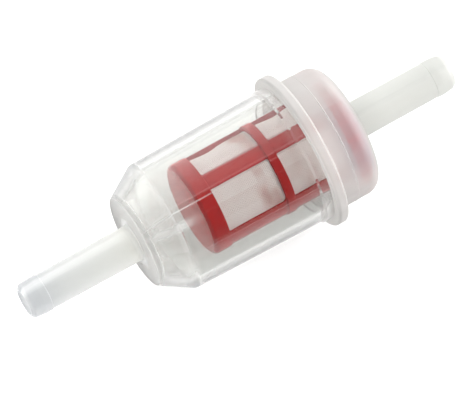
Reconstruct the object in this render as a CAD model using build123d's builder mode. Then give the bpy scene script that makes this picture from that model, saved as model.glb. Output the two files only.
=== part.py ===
from build123d import *
from math import cos, radians, sin
import os

# An in-line fuel filter for small engines. A clear bowl and a frosted cap are welded
# together around a moulded cage, and the cage carries a tube of woven mesh. Fuel enters
# the bowl, passes inwards through the mesh and leaves through the cap.
#
# Millimetres. X is the flow axis, from the inlet at -X to the outlet at +X, and +Z is up.
# The origin is on that axis, halfway between the tips of the two spigots. Lists of
# corners hold (x, radius, rounding), for profiles that are revolved about the axis.

# ---- Hose spigots, one on the bowl and one on the cap ------------------------------
overall_length = 102.0
spigot_root_r = 4.0
spigot_neck_r = 3.93       # just behind the bead, because the spigot tapers for its mould
bead_r = 4.06
bead_back = 4.5            # distance of the bead's back edge from the tip
bead_front = 3.0           # distance of the bead's front edge from the tip
bead_step = 0.15           # length over which the bead rises from the neck
bead_front_round = 2.0
bead_back_round = 0.05
shoulder_r = 3.86          # where the taper in front of the bead turns into the tip
inlet_shoulder = 0.6       # distance of that turn from the tip
inlet_shoulder_round = 0.5
outlet_shoulder = 0.95
outlet_shoulder_round = 0.8
tip_r = 3.2
tip_round = 0.15
bore_r = 2.8
root_fillet = 0.35

# ---- Bowl --------------------------------------------------------------------------
wall = 1.7
bowl_face_x = -24.8        # flat annular face around the inlet spigot
bowl_face_r = 10.2
bowl_face_round = 0.8
bowl_inner_face_r = 9.3
bowl_shoulder_x = -18.0    # where the cone meets the cylinder
bowl_shoulder_round = 1.4
bowl_inner_shoulder_x = -17.6
bowl_inner_shoulder_round = 0.4
bowl_front_r = 14.4
bowl_inner_front_r = 12.6
bowl_rear_r = 14.9
collar_x = 12.0            # raised collar at the open end, seated in the cap's flange
collar_r = 15.3
collar_chamfer = 0.45
collar_seat = 1.8          # depth of the flange's socket
bowl_mouth_r = 13.1

# ---- Cap ---------------------------------------------------------------------------
flange_x = 14.2
flange_length = 2.5
flange_r = 17.2
flange_front_round = 0.5
flange_back_round = 0.6
cap_front_r = 14.62
cap_rear_r = 14.5
cap_end_x = 26.8
cap_end_round = 3.4
cap_wall = 1.6
witness_x = 20.5           # fine raised line where the two halves of the cap's mould meet
witness_width = 0.24
witness_height = 0.06
seat_x = 20.8              # step in the bore, beyond which the cage's base is held
seat_r = 12.2

# ---- Cage --------------------------------------------------------------------------
cage_front_x = -11.4       # outer face of the closed end
cage_end_wall = 1.5
cage_bore_r = 8.8
rib_r = 10.1
ring_r = 10.4
end_ring_length = 3.7
end_round = 1.0
window_length = 13.7
middle_ring_length = 2.1
crown_rib_half_width = 1.72    # the narrow ribs at the top and bottom, parallel sided
side_rib_half_angle = 22.2     # the wide ribs at the mould's parting plane, in degrees
window_corner = 0.35
window_round_corner = 1.0      # beside the side ribs, at the outlet end of each window
ring_step = 0.15               # length over which a ring rises from the ribs
mesh_thickness = 0.25
mesh_overlap = 1.0             # how far the mesh runs under the base ring

# ---- Roundings shared by the moulded pieces ------------------------------------------
edge_break = 0.1
small_round = 0.3

inlet_tip_x = -overall_length / 2
outlet_tip_x = overall_length / 2
collar_end_x = flange_x + collar_seat
flange_end_x = flange_x + flange_length
witness_foot_r = (cap_front_r + cap_rear_r) / 2
chamber_end_x = cap_end_x - cap_wall
first_window_x = cage_front_x + end_ring_length
middle_ring_x = first_window_x + window_length
second_window_x = middle_ring_x + middle_ring_length
base_ring_x = second_window_x + window_length
cage_bore_x = cage_front_x + cage_end_wall
mesh_end_x = base_ring_x + mesh_overlap


def spigot_corners(root_x, tip_x, shoulder, shoulder_round):
    """Corners of a spigot's outside, from root to bore, as (x, r, rounding)."""
    inward = 1 if tip_x < root_x else -1
    return [
        (root_x, spigot_root_r, root_fillet),
        (tip_x + inward * (bead_back + bead_step), spigot_neck_r, 0),
        (tip_x + inward * bead_back, bead_r, bead_back_round),
        (tip_x + inward * bead_front, bead_r, bead_front_round),
        (tip_x + inward * shoulder, shoulder_r, shoulder_round),
        (tip_x, tip_r, tip_round),
        (tip_x, bore_r, edge_break),
    ]


# ---- Bowl: inlet spigot, flat face, cone and cylinder, in one moulding ---------------
bowl_inner_face_x = bowl_face_x + wall

bowl_corners = [
    *reversed(spigot_corners(bowl_face_x, inlet_tip_x, inlet_shoulder, inlet_shoulder_round)),
    (bowl_face_x, bowl_face_r, bowl_face_round),
    (bowl_shoulder_x, bowl_front_r, bowl_shoulder_round),
    (collar_x, bowl_rear_r, edge_break),
    (collar_x + collar_chamfer, collar_r, edge_break),
    (collar_end_x, collar_r, 0),
    (collar_end_x, bowl_mouth_r, 0),
    (bowl_inner_shoulder_x, bowl_inner_front_r, bowl_inner_shoulder_round),
    (bowl_inner_face_x, bowl_inner_face_r, bowl_face_round),
    (bowl_inner_face_x, bore_r, small_round),
]

with BuildPart() as bowl:
    with BuildSketch(Plane.XZ):
        with BuildLine():
            FilletPolyline(
                [(x, r) for x, r, rounding in bowl_corners],
                radius=[rounding for x, r, rounding in bowl_corners],
                close=True,
            )
        make_face()
    revolve(axis=Axis.X)

# ---- Cap: flange, cup and outlet spigot, in one moulding ----------------------------
cap_corners = [
    *spigot_corners(cap_end_x, outlet_tip_x, outlet_shoulder, outlet_shoulder_round),
    (chamber_end_x, bore_r, small_round),
    (chamber_end_x, seat_r, small_round),
    (seat_x, seat_r, edge_break),
    (seat_x, bowl_mouth_r, small_round),
    (collar_end_x, bowl_mouth_r, 0),
    (collar_end_x, collar_r, 0),
    (flange_x, collar_r, 0),
    (flange_x, flange_r, flange_front_round),
    (flange_end_x, flange_r, flange_back_round),
    (flange_end_x, cap_front_r, root_fillet),
    (witness_x - witness_width / 2, witness_foot_r, 0),
    (witness_x, witness_foot_r + witness_height, 0),
    (witness_x + witness_width / 2, witness_foot_r, 0),
    (cap_end_x, cap_rear_r, cap_end_round),
]

with BuildPart() as cap:
    with BuildSketch(Plane.XZ):
        with BuildLine():
            FilletPolyline(
                [(x, r) for x, r, rounding in cap_corners],
                radius=[rounding for x, r, rounding in cap_corners],
                close=True,
            )
        make_face()
    revolve(axis=Axis.X)

# ---- Windows: four openings around the cage, used to cut each row --------------------
# Each one is open between a crown rib's straight side and a side rib's radial side. The
# first is drawn where Y and Z are both positive, and mirrored into the other quarters.
side_y = cos(radians(side_rib_half_angle))
side_z = sin(radians(side_rib_half_angle))
side_rib_face = Axis((0, 0, 0), (0, side_y, side_z))
inner_reach = 6.0              # inside the cage's bore
outer_reach = 13.0             # outside its rings

with BuildPart() as windows:
    with BuildSketch(Plane.YZ.offset(first_window_x)):
        with BuildLine():
            Polyline(
                (crown_rib_half_width, inner_reach),
                (crown_rib_half_width, outer_reach),
                (outer_reach, outer_reach),
                (outer_reach * side_y, outer_reach * side_z),
                (inner_reach * side_y, inner_reach * side_z),
                close=True,
            )
        make_face()
    extrude(amount=window_length)
    fillet(windows.edges().filter_by(Axis.Z).group_by(Axis.Y)[0], radius=window_corner)
    fillet(windows.edges().filter_by(side_rib_face).group_by(Axis.X)[0], radius=window_corner)
    fillet(windows.edges().filter_by(side_rib_face).group_by(Axis.X)[-1], radius=window_round_corner)
    mirror(about=Plane.XZ)
    mirror(about=Plane.XY)

# ---- Cage: closed end, end ring, ribs, middle ring and base ring ---------------------
cage_corners = [
    (cage_front_x, 0, 0),
    (cage_front_x, ring_r, end_round),
    (first_window_x, ring_r, edge_break),
    (first_window_x + ring_step, rib_r, 0),
    (middle_ring_x, rib_r, 0),
    (middle_ring_x + ring_step, ring_r, edge_break),
    (second_window_x - ring_step, ring_r, edge_break),
    (second_window_x, rib_r, 0),
    (base_ring_x, rib_r, small_round),
    (base_ring_x, seat_r, small_round),
    (chamber_end_x, seat_r, small_round),
    (chamber_end_x, cage_bore_r, 0),
    (cage_bore_x, cage_bore_r, 0),
    (cage_bore_x, 0, 0),
]

with BuildPart() as cage:
    with BuildSketch(Plane.XZ):
        with BuildLine():
            FilletPolyline(
                [(x, r) for x, r, rounding in cage_corners],
                radius=[rounding for x, r, rounding in cage_corners],
                close=True,
            )
        make_face()
    revolve(axis=Axis.X)
    with Locations((0, 0, 0), (second_window_x - first_window_x, 0, 0)):
        add(windows.part, mode=Mode.SUBTRACT)

# ---- Mesh: a woven tube, moulded into the cage's bore -------------------------------
with BuildPart() as mesh_sleeve:
    with BuildSketch(Plane.YZ.offset(cage_bore_x)):
        Circle(cage_bore_r)
        Circle(cage_bore_r - mesh_thickness, mode=Mode.SUBTRACT)
    extrude(amount=mesh_end_x - cage_bore_x)

bowl.part.label = "clear_bowl"
cap.part.label = "frosted_cap"
cage.part.label = "strainer_cage"
mesh_sleeve.part.label = "mesh_sleeve"

os.makedirs("parts", exist_ok=True)
for piece in (bowl, cap, cage, mesh_sleeve):
    export_step(piece.part, f"parts/{piece.part.label}.step")
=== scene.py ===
import bpy
import numpy as np
from math import cos, pi, radians, sin
from mathutils import Matrix, Vector


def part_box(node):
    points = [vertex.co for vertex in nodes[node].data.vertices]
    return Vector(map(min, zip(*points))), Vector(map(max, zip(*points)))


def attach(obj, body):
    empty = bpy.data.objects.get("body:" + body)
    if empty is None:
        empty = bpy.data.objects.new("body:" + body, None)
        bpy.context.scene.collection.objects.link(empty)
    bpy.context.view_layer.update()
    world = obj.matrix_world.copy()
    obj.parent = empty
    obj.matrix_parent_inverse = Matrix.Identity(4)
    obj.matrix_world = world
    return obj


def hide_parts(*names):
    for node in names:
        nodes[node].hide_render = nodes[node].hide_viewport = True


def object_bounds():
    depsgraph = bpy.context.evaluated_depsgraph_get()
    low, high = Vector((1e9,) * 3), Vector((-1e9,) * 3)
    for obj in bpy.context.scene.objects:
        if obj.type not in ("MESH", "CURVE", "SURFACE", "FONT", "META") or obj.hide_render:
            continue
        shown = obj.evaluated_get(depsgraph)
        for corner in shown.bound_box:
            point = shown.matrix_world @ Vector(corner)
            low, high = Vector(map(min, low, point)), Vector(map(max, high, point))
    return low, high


# An in-line fuel filter: a clear bowl and a frosted cap around a red cage, which holds a
# sleeve of woven mesh. The CAD solids of the bowl, the cap and the cage carry materials
# here, and the mesh is woven thread by thread in place of its plain CAD tube.
#
# Metres. X is the flow axis, with the inlet at -X, and +Z is up.

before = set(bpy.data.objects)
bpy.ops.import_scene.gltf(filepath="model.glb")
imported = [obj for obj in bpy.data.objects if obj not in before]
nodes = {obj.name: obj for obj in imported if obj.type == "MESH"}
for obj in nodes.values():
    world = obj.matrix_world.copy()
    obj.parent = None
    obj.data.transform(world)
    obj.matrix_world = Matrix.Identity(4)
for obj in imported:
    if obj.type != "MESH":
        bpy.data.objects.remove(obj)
cad_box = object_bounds()
mm = 0.001


# ---- Node trees ----------------------------------------------------------------------
class Tree:
    """A node tree, with one short call for each node."""

    def __init__(self, owner):
        owner.use_nodes = True
        self.tree = owner.node_tree
        self.tree.nodes.clear()

    def add(self, kind, settings=None, **inputs):
        """A node. settings are its own properties; a socket's name has _ for each space."""
        node = self.tree.nodes.new("ShaderNode" + kind)
        for name, value in (settings or {}).items():
            setattr(node, name, value)
        for name, value in inputs.items():
            self.feed(node.inputs[name.replace("_", " ")], value)
        return node

    def feed(self, socket, value):
        if isinstance(value, bpy.types.NodeSocket):
            self.tree.links.new(value, socket)
        else:
            socket.default_value = value

    def math(self, operation, *values):
        node = self.add("Math", {"operation": operation})
        for socket, value in zip(node.inputs, values):
            self.feed(socket, value)
        return node.outputs[0]

    def steps(self, value, *edges):
        """value taken through a ramp of (position, level) pairs, each in its own units."""
        first, last = edges[0][0], edges[-1][0]
        share = self.add("MapRange", Value=value, From_Min=first, From_Max=last).outputs[0]
        top = max(level for position, level in edges)
        ramp = self.add("ValToRGB", Fac=share)
        points = ramp.color_ramp.elements
        while len(points) < len(edges):
            points.new(0.5)
        for point, (position, level) in zip(points, edges):
            point.position = (position - first) / (last - first)
            point.color = (level / top, level / top, level / top, 1)
        return self.math("MULTIPLY", ramp.outputs[0], top)

    def noise(self, scale, detail=2.0, stretch=(1, 1, 1)):
        place = self.add("TexCoord").outputs["Object"]
        place = self.add("Mapping", Vector=place, Scale=stretch).outputs[0]
        return self.add("TexNoise", Vector=place, Scale=scale, Detail=detail).outputs["Fac"]

    def mix(self, share, first, second):
        """Two shaders, with share of the second."""
        node = self.add("MixShader")
        for socket, value in zip(node.inputs, (share, first, second)):
            self.feed(socket, value)
        return node.outputs[0]

    def lets_lamps_through(self, shader, tint):
        """The shader, but with lamps and the studio's light passing it in straight lines."""
        open_to_light = self.add("BsdfTransparent", Color=tint).outputs[0]
        return self.mix(self.add("LightPath").outputs["Is Shadow Ray"], shader, open_to_light)

    def finish(self, kind, shader):
        output = self.add("Output" + kind)
        self.feed(output.inputs["Surface"], shader)


def material(name):
    made = bpy.data.materials.new(name)
    return made, Tree(made)


def dress(node, made):
    nodes[node].data.materials.clear()
    nodes[node].data.materials.append(made)

def blend(t, share, first, second):
    """Two colours, with share of the second."""
    return t.add("MixRGB", Fac=share, Color1=first, Color2=second).outputs[0]


def whereabouts(t):
    """A point's X, and its angle about X in degrees: 0 is +Y, 90 is up and 180 is -Y."""
    place = t.add("SeparateXYZ", Vector=t.add("TexCoord").outputs["Object"])
    angle = t.math("DEGREES", t.math("ARCTAN2", place.outputs["Z"], place.outputs["Y"]))
    return place, place.outputs["X"], angle


# ---- Clear plastic: the bowl, and its hazier spigot -----------------------------------
# The patches of haze and tone are painted on by place, to match how the filter looks from
# the upper -Y side. They aren't measured, and the far side is a guess.
inlet_tip_x = -51 * mm
bowl_face_x = -24.8 * mm
shoulder_x = -18 * mm          # where the cone meets the cylinder
cage_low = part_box("strainer_cage")[0]
collar_x = 12 * mm
collar_end_x = 16 * mm
inner_wall_r = 13.3 * mm       # the wall's outside starts just beyond this


def bowl_haze(t, x, around, radius, facing, outside):
    """How much milk shows in the clear plastic."""
    along = t.steps(
        x,
        (inlet_tip_x, 0.48),
        (bowl_face_x - 0.5 * mm, 0.52),
        (bowl_face_x + 0.1 * mm, 0.22),
        (bowl_face_x + 2 * mm, 0.13),
        (shoulder_x - 3.5 * mm, 0.06),
        (shoulder_x - 2 * mm, 0.02),
        (shoulder_x - 0.6 * mm, 0.03),
        # Painted highlight: a narrow whiter band right at the shoulder.
        (shoulder_x - 0.2 * mm, 0.22),
        (shoulder_x + 0.2 * mm, 0.22),
        (shoulder_x + 0.6 * mm, 0.02),
        (shoulder_x + 1.6 * mm, 0.055),
        (shoulder_x + 3.6 * mm, 0.055),
        (cage_low.x - 1.2 * mm, 0.005),
        (collar_x - 2 * mm, 0.003),
        (collar_x, 0.04),
        (collar_end_x, 0.07),
    )
    # Everything below is added to that. The wall is dull where it is seen at a slant.
    edge = t.math("MULTIPLY", t.math("POWER", facing, 5.0), t.steps(outside, (0, 0.3), (1, 1.2)))
    shoulder = t.math(
        "MULTIPLY",
        t.steps(
            x,
            (bowl_face_x + 0.3 * mm, 0.0),
            (bowl_face_x + 1 * mm, 0.55),
            (shoulder_x - 1.4 * mm, 0.5),
            (shoulder_x - 1 * mm, 0.6),
            (shoulder_x + 0.2 * mm, 0.6),
            (shoulder_x + 0.6 * mm, 0.0),
        ),
        t.steps(facing, (0.3, 0.0), (0.55, 1.0)),
    )
    collar = t.math(
        "MULTIPLY",
        t.steps(x, (collar_x - 0.3 * mm, 0.0), (collar_x + 0.2 * mm, 1.0)),
        t.steps(facing, (0.22, 0.0), (0.36, 0.28)),
    )
    # The spigot's root is milky, and the cone has a few pale patches at random.
    root = t.math(
        "MULTIPLY",
        t.steps(radius, (4.2 * mm, 0.45), (6.5 * mm, 0.0)),
        t.steps(x, (-26 * mm, 0.0), (-25 * mm, 1.0), (-23 * mm, 1.0), (-21.5 * mm, 0.0)),
    )
    pale_patches = t.math(
        "MULTIPLY",
        t.steps(t.noise(150, 1.0), (0.52, 0.0), (0.66, 0.35)),
        t.steps(x, (-24.5 * mm, 0.0), (-23.5 * mm, 1.0), (-19.5 * mm, 1.0), (-18 * mm, 0.0)),
    )
    # Painted highlight: a fine whiter line runs back from the shoulder, with a broad lighter band
    # beside it, a painted reflection.
    painted_highlight_line = t.math(
        "MULTIPLY",
        t.steps(around, (105.1, 0.0), (105.6, 1.0), (106.0, 1.0), (106.5, 0.0)),
        t.steps(x, (-24 * mm, 0.0), (-23 * mm, 0.5), (-16 * mm, 0.4), (-5 * mm, 0.0)),
    )
    painted_reflection_band = t.math(
        "MULTIPLY",
        t.steps(around, (113.0, 0.0), (117, 1.0), (120, 1.0), (124.0, 0.0)),
        t.steps(
            x,
            (-24.5 * mm, 0.0),
            (-23 * mm, 0.35),
            (-17 * mm, 0.4),
            (-14.5 * mm, 0.08),
            (-12 * mm, 0.0),
        ),
    )
    haze = along
    for patch in (edge, shoulder, collar, root, pale_patches, painted_highlight_line, painted_reflection_band):
        haze = t.math("ADD", haze, patch)
    return haze


def bowl_glass_colour(t, x, around, facing, outside):
    on_cylinder = t.math(
        "MULTIPLY",
        outside,
        t.steps(x, (-18.5 * mm, 0.0), (-16.5 * mm, 1.0), (9 * mm, 1.0), (collar_x, 0.6)),
    )
    # Painted shade: the glass is greyer low down on the -Y side, and a little so along the top of
    # the +Y side.
    painted_glass_shade = t.steps(
        around,
        (8, 0.0),
        (25, 0.45),
        (45, 0.26),
        (62, 0.0),
        (140, 0.0),
        (158, 1.0),
        (180, 1.0),
    )
    colour = blend(
        t,
        t.math("MULTIPLY", painted_glass_shade, on_cylinder),
        (0.74, 0.745, 0.725, 1),
        (0.45, 0.455, 0.435, 1),
    )
    # A stand-in for thickness: the wall darkens with the slant, so this shifts with the view.
    slant = t.math("MULTIPLY", t.steps(facing, (0.56, 0.0), (0.74, 1.0)), on_cylinder)
    return blend(t, slant, colour, (0.10, 0.103, 0.10, 1))


def bowl_milk_tone(t, x, around, facing):
    along = t.steps(
        x,
        (-49 * mm, 0.0),
        (-42 * mm, 0.4),
        (-30 * mm, 0.72),
        (-26 * mm, 0.95),
        (-25 * mm, 0.7),
        (0, 0.7),
    )
    tone = blend(t, along, (0.38, 0.39, 0.405, 1), (0.58, 0.58, 0.555, 1))
    # This grey follows the slant too.
    slant = t.math(
        "MULTIPLY",
        t.steps(facing, (0.4, 0.0), (0.72, 1.0)),
        t.steps(
            x,
            (bowl_face_x - 0.1 * mm, 0.0),
            (bowl_face_x, 1.0),
            (9 * mm, 1.0),
            (collar_x, 0.0),
        ),
    )
    tone = blend(t, slant, tone, (0.32, 0.325, 0.325, 1))
    # Painted highlight: one side of the spigot is whiter along its length.
    painted_highlight_streak = t.math(
        "MULTIPLY",
        t.steps(around, (58, 0.0), (67, 0.45), (78, 0.45), (98, 0.0)),
        t.steps(x, (-48 * mm, 1.0), (-40 * mm, 0.6), (-28 * mm, 0.45), (-25 * mm, 0.0)),
    )
    return blend(t, painted_highlight_streak, tone, (0.85, 0.86, 0.86, 1))


def clear_plastic():
    made, t = material("clear_plastic")
    place, x, around = whereabouts(t)
    facing = t.add("LayerWeight", Blend=0.5).outputs["Facing"]
    radius = t.add("VectorMath", {"operation": "LENGTH"})
    section = t.add("CombineXYZ", Y=place.outputs["Y"], Z=place.outputs["Z"])
    t.feed(radius.inputs[0], section.outputs[0])
    radius = radius.outputs["Value"]
    outside = t.steps(radius, (inner_wall_r, 0.0), (inner_wall_r + 0.3 * mm, 1.0))
    # The flat face around the spigot is cloudier than the cone behind it.
    face = t.math(
        "MULTIPLY",
        t.steps(
            x,
            (bowl_face_x - 0.1 * mm, 0.0),
            (bowl_face_x, 1.0),
            (bowl_face_x + 0.3 * mm, 0.0),
        ),
        t.steps(radius, (5 * mm, 0.0), (6 * mm, 1.0)),
    )
    haze = bowl_haze(t, x, around, radius, facing, outside)
    haze = t.math("MINIMUM", t.math("MULTIPLY_ADD", face, 0.3, haze), 1.0)
    roughness = t.steps(
        x,
        (bowl_face_x - 2 * mm, 0.08),
        (bowl_face_x + 2 * mm, 0.08),
        (shoulder_x, 0.03),
        (collar_end_x, 0.03),
    )
    ripple = t.add("Bump", Strength=0.25, Distance=0.02 * mm, Height=t.noise(260, 2.0, (0.5, 1, 1)))
    glass = t.add(
        "BsdfPrincipled",
        Base_Color=bowl_glass_colour(t, x, around, facing, outside),
        Roughness=roughness,
        IOR=1.5,
        Transmission_Weight=1.0,
        Normal=ripple.outputs[0],
    )
    tone = bowl_milk_tone(t, x, around, facing)
    milk = t.add("BsdfPrincipled", Base_Color=tone, Roughness=0.08, IOR=1.5)
    glow = t.add("BsdfTranslucent", Color=tone)
    cloud = t.mix(t.math("MULTIPLY_ADD", face, 0.55, 0.4), milk.outputs[0], glow.outputs[0])
    body = t.mix(haze, glass.outputs[0], cloud)
    t.finish("Material", t.lets_lamps_through(body, (0.99, 0.99, 0.985, 1)))
    return made


dress("clear_bowl", clear_plastic())

# ---- Frosted plastic: the cap and its spigot ------------------------------------------
flange_x = 14.2 * mm
cap_end_x = 26.8 * mm
witness_x = 20.5 * mm


def frosted_tone(t, x, on_spigot, rosy):
    # Painted shade: the flange's front face is darker than the rest of the cap.
    painted_shade_edge = t.steps(x, (flange_x, 0.0), (flange_x + 0.4 * mm, 0.1), (flange_x + 0.8 * mm, 1.0))
    tone = blend(t, painted_shade_edge, (0.37, 0.365, 0.355, 1), (0.50, 0.49, 0.48, 1))
    tone = blend(t, rosy, tone, (0.39, 0.385, 0.405, 1))
    along = t.steps(x, (cap_end_x, 0.0), (cap_end_x + 2 * mm, 1.0), (35 * mm, 1.0), (50 * mm, 0.75))
    spigot_tone = blend(t, along, (0.37, 0.375, 0.36, 1), (0.56, 0.565, 0.545, 1))
    return blend(t, on_spigot, tone, spigot_tone)


def frosted_haze(t, x, around, facing, on_spigot, rosy):
    """How much milk shows in the frosted plastic."""
    haze = t.math("MULTIPLY_ADD", on_spigot, 0.46, 0.36)
    edge = t.math("MULTIPLY", t.math("POWER", facing, 1.5), t.steps(on_spigot, (0, 1.5), (1, 0.2)))
    haze = t.math("ADD", haze, edge)
    # Painted light: the upper side is milkier, which makes it lighter.
    haze = t.math("ADD", haze, t.steps(around, (20, 0.0), (50, 0.28), (84, 0.28), (108, 0.0)))
    haze = t.math("MULTIPLY_ADD", rosy, 0.12, haze)
    witness = t.steps(
        x,
        (witness_x - 0.12 * mm, 0.0),
        (witness_x - 0.04 * mm, 0.2),
        (witness_x + 0.04 * mm, 0.2),
        (witness_x + 0.12 * mm, 0.0),
    )
    return t.math("MINIMUM", t.math("ADD", haze, witness), 1.0)


def frosted_plastic():
    made, t = material("frosted_plastic")
    place, x, around = whereabouts(t)
    facing = t.add("LayerWeight", Blend=0.5).outputs["Facing"]
    on_spigot = t.steps(x, (cap_end_x - 1.4 * mm, 0.0), (cap_end_x - 0.2 * mm, 1.0))
    # A band over the cage's red base, greyer and milkier so that the red shows through it as
    # rose. It is painted on the upper -Y side only.
    rosy = t.math(
        "MULTIPLY",
        t.steps(x, (19 * mm, 0.0), (22 * mm, 0.9), (23 * mm, 1.0), (25 * mm, 1.0), (26.2 * mm, 0.0)),
        t.steps(around, (80, 0.0), (108, 0.9), (125, 1.0), (144, 1.0), (165, 0.0)),
    )
    ripple = t.add("Bump", Strength=0.3, Distance=0.02 * mm, Height=t.noise(420, 3.0, (3, 1, 1)))
    glass = t.add(
        "BsdfPrincipled",
        Base_Color=(0.98, 0.94, 0.94, 1),
        Roughness=0.38,
        IOR=1.5,
        Transmission_Weight=1.0,
        Normal=ripple.outputs[0],
    )
    tone = frosted_tone(t, x, on_spigot, rosy)
    # The flange's back edge is duller than the rest.
    roughness = t.steps(x, (15.7 * mm, 0.35), (16 * mm, 0.8), (17 * mm, 0.8), (17.6 * mm, 0.35))
    milk = t.add("BsdfPrincipled", Base_Color=tone, Roughness=roughness, IOR=1.5)
    glow = t.add("BsdfTranslucent", Color=tone)
    cloud = t.mix(0.55, milk.outputs[0], glow.outputs[0])
    haze = frosted_haze(t, x, around, facing, on_spigot, rosy)
    body = t.mix(haze, glass.outputs[0], cloud)
    t.finish("Material", t.lets_lamps_through(body, (0.94, 0.93, 0.925, 1)))
    return made


dress("frosted_cap", frosted_plastic())


# ---- Red plastic: the cage --------------------------------------------------------------
def red_plastic():
    made, t = material("red_plastic")
    grain = t.add("Bump", Strength=0.2, Distance=0.02 * mm, Height=t.noise(900, 3.0))
    plastic = t.add(
        "BsdfPrincipled",
        Base_Color=blend(t, t.noise(160, 3.0), (0.31, 0.003, 0.003, 1), (0.35, 0.004, 0.004, 1)),
        Roughness=t.steps(t.noise(500, 2.0), (0.0, 0.14), (1.0, 0.22)),
        Specular_IOR_Level=0.2,
        IOR=1.5,
        Normal=grain.outputs[0],
    )
    t.finish("Material", plastic.outputs[0])
    return made


dress("strainer_cage", red_plastic())


# ---- White thread -----------------------------------------------------------------------
def woven_thread():
    made, t = material("woven_mesh")
    tone = blend(t, t.noise(300, 3.0), (0.94, 0.89, 0.885, 1), (0.97, 0.93, 0.925, 1))
    # Painted shade: darker, pinker patches in a band across each row.
    x = t.add("SeparateXYZ", Vector=t.add("TexCoord").outputs["Object"]).outputs["X"]
    painted_shade_bands = t.steps(
        x,
        (0.5 * mm, 0.0),
        (2.4 * mm, 1.0),
        (4.6 * mm, 1.0),
        (6 * mm, 0.0),
        (10 * mm, 0.0),
        (12 * mm, 0.6),
        (13.4 * mm, 0.6),
        (15 * mm, 0.0),
    )
    painted_cloth_shade = t.math("MULTIPLY", t.steps(t.noise(190, 2.0), (0.42, 0.0), (0.6, 0.75)), painted_shade_bands)
    tone = blend(t, painted_cloth_shade, tone, (0.74, 0.50, 0.47, 1))
    fibre = t.add("BsdfPrincipled", Base_Color=tone, Roughness=0.45, IOR=1.5)
    glow = t.add("BsdfTranslucent", Color=tone)
    t.finish("Material", t.mix(0.6, fibre.outputs[0], glow.outputs[0]))
    return made


thread_white = woven_thread()

# ---- Mesh: a woven panel in each of the cage's eight windows ----------------------------
# The cloth's edges are tucked into the ribs and rings. It lies in the thickness of the
# cage's wall, about 1 mm further out than the plain CAD tube that it stands for.
end_ring = 3.7 * mm
window_length = 13.7 * mm
middle_ring = 2.1 * mm
row_pitch = window_length + middle_ring
window_start = radians(22.2)       # from the middle of a side rib
window_end = radians(80.2)         # beside a crown rib
tuck = 0.4 * mm
cloth_r = 9.72 * mm
thread_pitch = 0.36 * mm
thread_r = 0.115 * mm
sides = 6


def tube(points):
    """Vertices and faces of a thread along points."""
    points = np.array(points)
    ahead = np.gradient(points, axis=0)
    ahead /= np.linalg.norm(ahead, axis=1)[:, None]
    out = points * (0, 1, 1)
    out -= (out * ahead).sum(1)[:, None] * ahead
    out /= np.linalg.norm(out, axis=1)[:, None]
    side = np.cross(ahead, out)
    angles = 2 * pi * np.arange(sides) / sides
    across = np.cos(angles)[None, :, None] * out[:, None]
    ring = across + np.sin(angles)[None, :, None] * side[:, None]
    vertices = (points[:, None] + thread_r * ring).reshape(-1, 3)
    faces = [tuple(reversed(range(sides)))]
    for start in range(0, (len(points) - 1) * sides, sides):
        for j in range(sides):
            k = (j + 1) % sides
            faces.append((start + j, start + k, start + sides + k, start + sides + j))
    faces.append(tuple(range(len(vertices) - sides, len(vertices))))
    return vertices, faces


def woven_panel(name, start_x, low_angle, high_angle, sag):
    """Cloth between two angles about X. sag(u, v) is how far it lies inside cloth_r."""
    length = window_length + 2 * tuck
    arc = (high_angle - low_angle) + 2 * tuck / cloth_r
    rows = round(length / thread_pitch)
    columns = round(arc * cloth_r / thread_pitch)
    wave = 0.5 * thread_r
    vertices, faces = [], []

    def place(u, v, lift):
        r = cloth_r - sag(u, v) + lift
        angle = low_angle - tuck / cloth_r + arc * v
        return (start_x - tuck + length * u, r * cos(angle), r * sin(angle))

    def keep(thread):
        first = sum(len(v) for v in vertices)
        vertices.append(thread[0])
        faces.extend(tuple(first + i for i in face) for face in thread[1])

    for column in range(columns):
        way = 1 if column % 2 else -1
        v = (column + 0.5) / columns
        halves = range(2 * rows + 1)
        keep(tube([place(h / 2 / rows, v, way * wave * cos(pi * h / 2)) for h in halves]))
    for row in range(rows):
        way = 1 if row % 2 else -1
        u = (row + 0.5) / rows
        halves = range(2 * columns + 1)
        keep(tube([place(u, h / 2 / columns, -way * wave * cos(pi * h / 2)) for h in halves]))
    mesh = bpy.data.meshes.new(name)
    mesh.from_pydata(np.concatenate(vertices).tolist(), [], faces)
    mesh.polygons.foreach_set("use_smooth", [True] * len(mesh.polygons))
    mesh.materials.append(thread_white)
    piece = bpy.data.objects.new(name, mesh)
    bpy.context.scene.collection.objects.link(piece)
    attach(piece, "root")
    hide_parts("mesh_sleeve")


def dented(u, v):
    """Slack cloth: flush beside the crown rib, drawn in beside the side rib, and dented."""
    dent = 0.5 * mm * np.exp(-(((u - 0.35) / 0.16) ** 2) - (((v - 0.0) / 0.35) ** 2))
    return 0.75 * mm * (1 - v) ** 1.5 + dent


def taut(u, v):
    return 0.06 * mm * (sin(pi * u) * sin(pi * v) + 0.4 * sin(9 * u + 5 * v))


for row in range(2):
    start_x = cage_low.x + end_ring + row * row_pitch
    for quarter in range(4):
        low, high = window_start, window_end
        if quarter % 2:
            low, high = pi / 2 - window_end, pi / 2 - window_start
        turn = quarter * pi / 2
        loose = quarter == 0
        name = f"mesh_panel_{1 + 4 * row + quarter}"
        woven_panel(name, start_x, low + turn, high + turn, dented if loose else taut)

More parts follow.
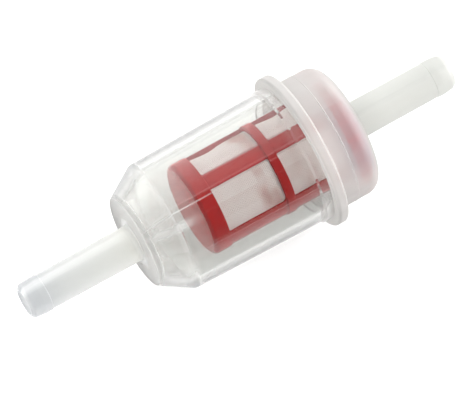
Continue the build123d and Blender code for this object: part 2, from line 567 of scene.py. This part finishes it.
# ---- Floor -------------------------------------------------------------------------------
floor_z = cad_box[0][2] - 0.1 * mm
floor_mesh = bpy.data.meshes.new("floor")
half = 1.5
floor_mesh.from_pydata(
    [(-half, -half, floor_z), (half, -half, floor_z), (half, half, floor_z), (-half, half, floor_z)],
    [],
    [(0, 1, 2, 3)],
)
floor = bpy.data.objects.new("floor", floor_mesh)
bpy.context.scene.collection.objects.link(floor)
paper, t = material("paper")
away = t.add("VectorMath", {"operation": "LENGTH"})
t.feed(away.inputs[0], t.add("TexCoord").outputs["Object"])
away = away.outputs["Value"]
sheet_tone = t.add(
    "MixRGB", Fac=t.noise(30, 2.0), Color1=(0.54, 0.54, 0.54, 1), Color2=(0.56, 0.56, 0.56, 1)
)
# Painted light: the floor's colour is lighter near the object.
sheet_tone = t.add(
    "MixRGB",
    Fac=t.steps(away, (0.08, 0.0), (0.45, 1.0)),
    Color1=sheet_tone.outputs[0],
    Color2=(0.45, 0.45, 0.45, 1),
)
sheet = t.add("BsdfDiffuse", Color=sheet_tone.outputs[0]).outputs[0]
# Painted light: the floor glows, most strongly near the object, which washes out the object's
# shadow.
painted_floor_light = t.steps(away, (0.08, 0.35), (0.45, 0.1))
painted_floor_glow = t.add("Emission", Color=(1, 1, 1, 1), Strength=painted_floor_light).outputs[0]
both = t.add("AddShader")
t.feed(both.inputs[0], sheet)
t.feed(both.inputs[1], painted_floor_glow)
t.finish("Material", both.outputs[0])
floor_mesh.materials.append(paper)

# ---- Studio light --------------------------------------------------------------------------
# A dome whose brightness depends on the angle about X: 0 at the back horizon, 90 overhead,
# 180 at the horizon on the camera's side.
world = bpy.data.worlds.new("studio")
bpy.context.scene.world = world
t = Tree(world)
way = t.add("SeparateXYZ", Vector=t.add("TexCoord").outputs["Generated"])
angle = t.math("DEGREES", t.math("ARCTAN2", way.outputs["Z"], way.outputs["Y"]))
level = t.steps(
    angle,
    (-10, 2.7),
    (5, 2.6),
    (20, 2.3),
    (40, 2.2),
    (60, 1.6),
    (78, 1.2),
    (90, 1.0),
    (91, 2.2),
    (92, 2.2),
    (93, 0.40),
    (100, 0.35),
    (100.5, 1.8),
    (101.6, 1.8),
    (102, 0.24),
    (123, 0.22),
    (123.5, 0.5),
    (124.6, 0.5),
    (125, 0.20),
    (190, 0.20),
)
side = way.outputs["X"]
inlet_box = t.math(
    "MULTIPLY",
    t.steps(side, (-1.0, 0.9), (-0.75, 0.9), (-0.62, 2.8), (-0.5, 2.8), (-0.35, 0.0)),
    t.steps(angle, (0, 0.5), (60, 0.5), (110, 0.8), (180, 0.8)),
)
outlet_box = t.math(
    "MULTIPLY",
    t.steps(side, (0.42, 0.0), (0.6, 8.0), (1.0, 8.0)),
    t.steps(angle, (0, 0.25), (60, 0.35), (110, 1.0), (180, 0.9)),
)
level = t.math("ADD", level, t.math("ADD", inlet_box, outlet_box))
t.finish("World", t.add("Background", Color=(1, 1, 1, 1), Strength=level).outputs[0])


# ---- Camera ----------------------------------------------------------------------------------
azimuth = radians(-31.0)
elevation = radians(66.2)
distance = 1.5
view_width = 98.14 * mm        # width of the view at the object
aim_drop = 3.0 * mm            # the view's middle is this far below the origin
right = Vector((cos(azimuth), sin(azimuth), 0))
back = Vector((sin(azimuth) * cos(elevation), -cos(azimuth) * cos(elevation), sin(elevation)))
up = back.cross(right)
camera_data = bpy.data.cameras.new("camera")
camera_data.sensor_width = 36
camera_data.lens = camera_data.sensor_width * distance / view_width
camera_data.clip_end = 10
camera = bpy.data.objects.new("camera", camera_data)
camera.matrix_world = Matrix.Translation(back * distance - up * aim_drop) @ Matrix(
    (right, up, back)
).transposed().to_4x4()
bpy.context.scene.collection.objects.link(camera)
bpy.context.scene.camera = camera

scene = bpy.context.scene
scene.view_settings.view_transform = "Standard"
scene.cycles.max_bounces = 24
scene.cycles.transmission_bounces = 24
scene.cycles.transparent_max_bounces = 32
